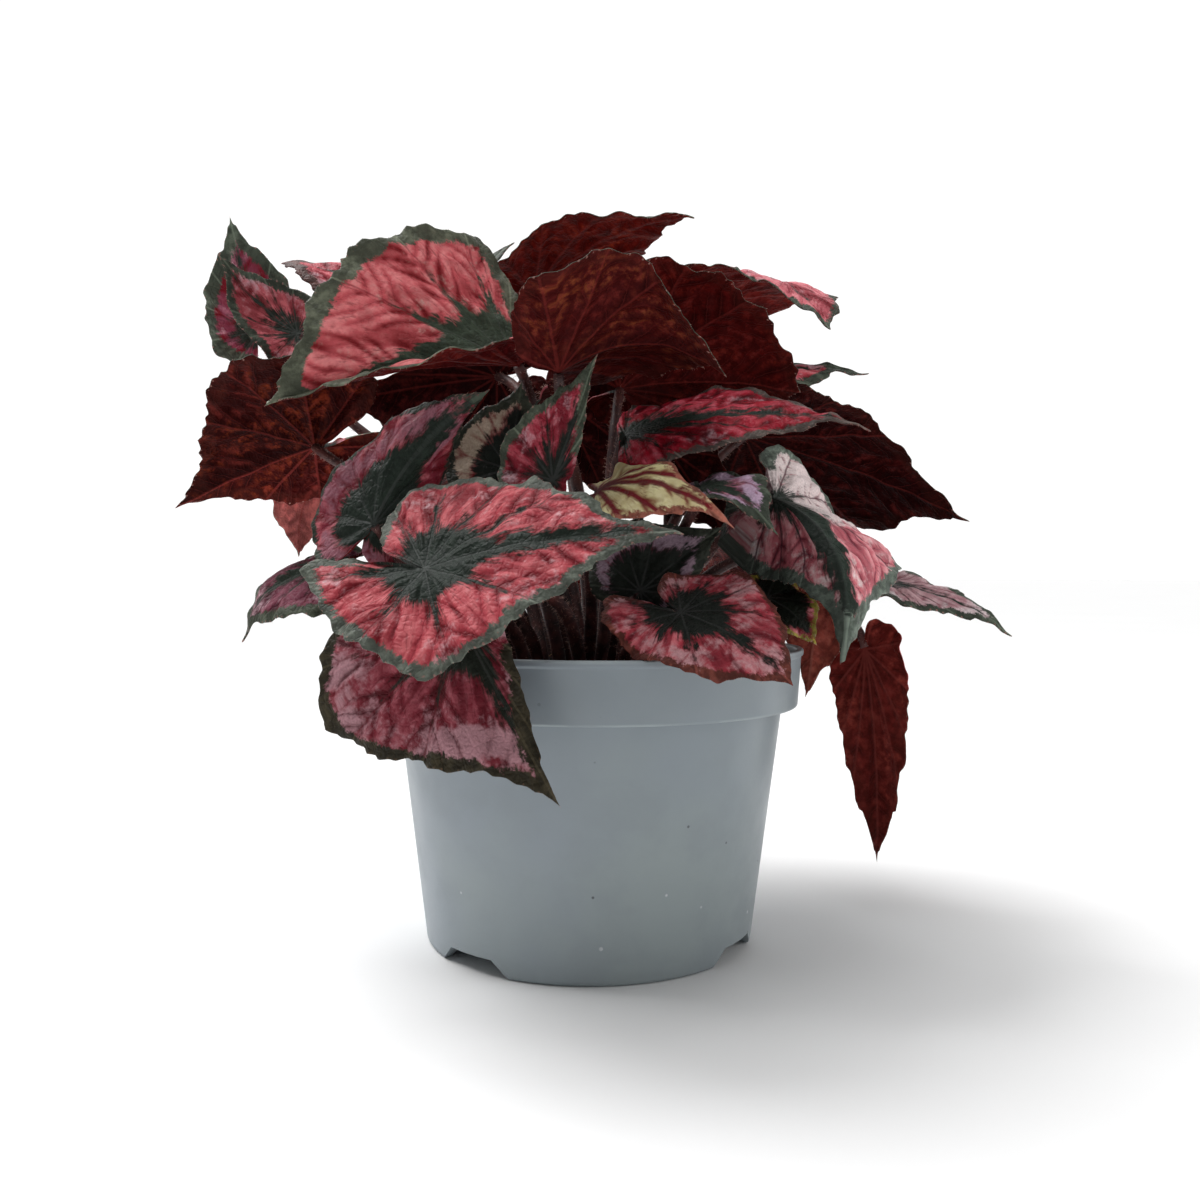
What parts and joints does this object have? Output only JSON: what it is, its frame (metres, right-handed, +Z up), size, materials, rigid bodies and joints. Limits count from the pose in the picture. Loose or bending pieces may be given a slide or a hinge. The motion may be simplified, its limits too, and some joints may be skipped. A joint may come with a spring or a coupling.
{
  "type": "potted rex begonia",
  "caption": "Bushy foliage plant with toothed, lopsided heart-shaped leaves on slender stalks, rooted in soil in a tapered nursery pot with a deep collar and raised floor.",
  "frame": {"origin": "centre of the object's bounding box at its base, which is the pot's axis at the level of its feet", "axes": "+Z up along the pot's axis, -Y towards the viewer of the picture, +X to the viewer's right"},
  "size_m": [0.2461, 0.1983, 0.2118],
  "materials": {
    "pot": "satin grey-blue moulded plastic",
    "soil": "damp dark potting mix with fibres",
    "leaf": "quilted leaf, pink and silver over dark green, maroon below"
  },
  "bodies": {
    "root": {"pot": "pot", "soil": "soil", "leaf_upper_left": "leaf", "leaf_top_centre": "leaf", "leaf_top_back": "leaf", "leaf_top_right": "leaf", "leaf_back_pink_tip": "leaf", "leaf_right_dark": "leaf", "leaf_right_back": "leaf", "leaf_right_pink": "leaf", "leaf_right_silver": "leaf", "leaf_centre_olive": "leaf", "leaf_centre_silver": "leaf", "leaf_centre_low": "leaf", "leaf_front_left": "leaf", "leaf_front_low": "leaf", "leaf_front_rim": "leaf", "leaf_far_left_back": "leaf", "leaf_far_left": "leaf", "leaf_left_back": "leaf", "leaf_back_centre": "leaf", "leaf_left_dark": "leaf", "leaf_left_lobe": "leaf", "leaf_left_small": "leaf", "leaf_left_inner": "leaf", "leaf_centre_dark": "leaf", "leaf_centre_point": "leaf", "leaf_right_hanging": "leaf", "leaf_right_under": "leaf", "leaf_right_low": "leaf", "leaf_right_inner": "leaf", "leaf_back_left": "leaf", "leaf_back_low": "leaf", "leaf_back_right": "leaf", "leaf_back_high": "leaf", "leaf_inner_dark": "leaf", "leaf_inner_right": "leaf", "leaf_left_shaded": "leaf"}
  },
  "joints": []
}
